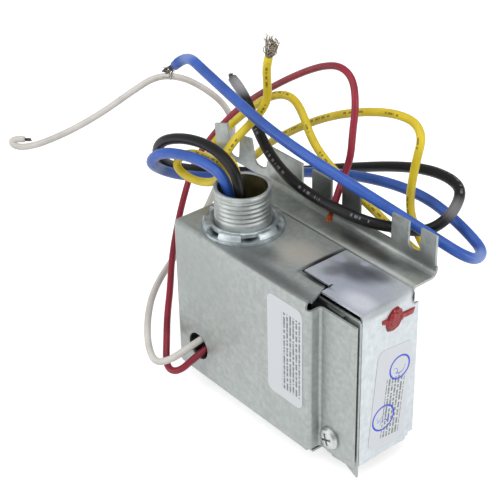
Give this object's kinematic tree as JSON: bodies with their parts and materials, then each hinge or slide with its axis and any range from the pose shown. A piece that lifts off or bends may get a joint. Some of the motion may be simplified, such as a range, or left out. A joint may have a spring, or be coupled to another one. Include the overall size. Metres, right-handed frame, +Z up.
{
  "type": "electric heat relay",
  "caption": "Nipple-mounted electric heat relay in a folded steel housing with slotted mounting flange, locknut and coloured lead wires.",
  "frame": {"origin": "centre of the conduit nipple in the plane of the cover top, where the wall of a junction box seats", "axes": "+X along the housing from the nipple towards the relay end, +Y towards the slotted mounting flange, +Z up the nipple, out of the housing"},
  "size_m": [0.1928, 0.0994, 0.1361],
  "materials": {
    "galvanised": "galvanised sheet, satin with a faint spangle",
    "bright_zinc": "bright zinc plated sheet, satin",
    "zinc_thread": "zinc plated, rolled thread",
    "zinc_screw": "bright zinc plated",
    "red_varnish": "gloss sealing varnish",
    "label_stock": "white label",
    "lamination": "varnished silicon steel",
    "nylon": "moulded nylon",
    "enamelled_wire": "enamelled copper wire under tape",
    "phenolic": "moulded phenolic",
    "brass": "stamped brass",
    "spring_bronze": "spring strip",
    "silver": "silver contact rivet",
    "bimetal": "rolled bimetal strip",
    "heater_card": "mica card with resistance wire",
    "ceramic_pin": "steatite",
    "blue_insulation": "extruded vinyl, satin",
    "black_insulation": "extruded vinyl, glossy",
    "yellow_insulation": "extruded vinyl, satin",
    "red_insulation": "extruded vinyl, satin",
    "white_insulation": "extruded vinyl, satin",
    "tinned_copper": "twisted tinned strands",
    "copper": "bare copper strands"
  },
  "bodies": {
    "housing": {"adjusting_screw": "zinc_screw", "bimetal_block": "phenolic", "black_lead": "black_insulation", "black_strands": "tinned_copper", "black_terminal": "brass", "blade_block": "phenolic", "blue_lead": "blue_insulation", "blue_strands": "tinned_copper", "blue_terminal": "brass", "can_cover": "galvanised", "conduit_nipple": "zinc_thread", "end_label": "label_stock", "fixed_contact": "brass", "front_label": "label_stock", "primary_winding": "enamelled_wire", "rear_bracket": "galvanised", "red_lead": "red_insulation", "red_strands": "copper", "relay_base": "phenolic", "relay_front_plate": "galvanised", "relay_housing": "bright_zinc", "sealing_varnish": "red_varnish", "secondary_winding": "enamelled_wire", "transformer_bobbin": "nylon", "transformer_core": "lamination", "transformer_strap": "galvanised", "white_lead": "white_insulation", "white_strands": "tinned_copper", "yellow_arch_lead": "yellow_insulation", "yellow_arch_strands": "tinned_copper", "yellow_arch_terminal": "brass", "yellow_lead": "yellow_insulation", "yellow_strands": "tinned_copper", "yellow_terminal": "brass"},
    "locknut": {"locknut": "zinc_thread"},
    "cover_screw": {"cover_screw": "zinc_screw"},
    "bimetal": {"bimetal_strip": "bimetal", "heater_card": "heater_card", "pusher_pin": "ceramic_pin"},
    "blade": {"contact_blade": "spring_bronze", "moving_contact": "silver"}
  },
  "joints": [
    {"name": "locknut_travel", "type": "slide", "parent": "housing", "child": "locknut", "axis": [0, 0, 1], "range_m": [0, 0.006]},
    {"name": "cover_screw_travel", "type": "slide", "parent": "housing", "child": "cover_screw", "axis": [0, -1, 0], "range_m": [0, 0.006]},
    {"name": "bimetal_bend", "type": "hinge", "parent": "housing", "child": "bimetal", "pos_m": [0.062, 0.0045, -0.056], "axis": [0, -1, 0], "range_deg": [0, 4], "stiffness_Nm_per_rad": 0.6},
    {"name": "blade_bend", "type": "hinge", "parent": "housing", "child": "blade", "pos_m": [0.055, 0.0045, -0.05], "axis": [0, -1, 0], "range_deg": [0, 5], "stiffness_Nm_per_rad": 0.1}
  ],
  "couplings": [
    {"joint": "blade_bend", "follows": "bimetal_bend", "ratio": 1.2308}
  ]
}
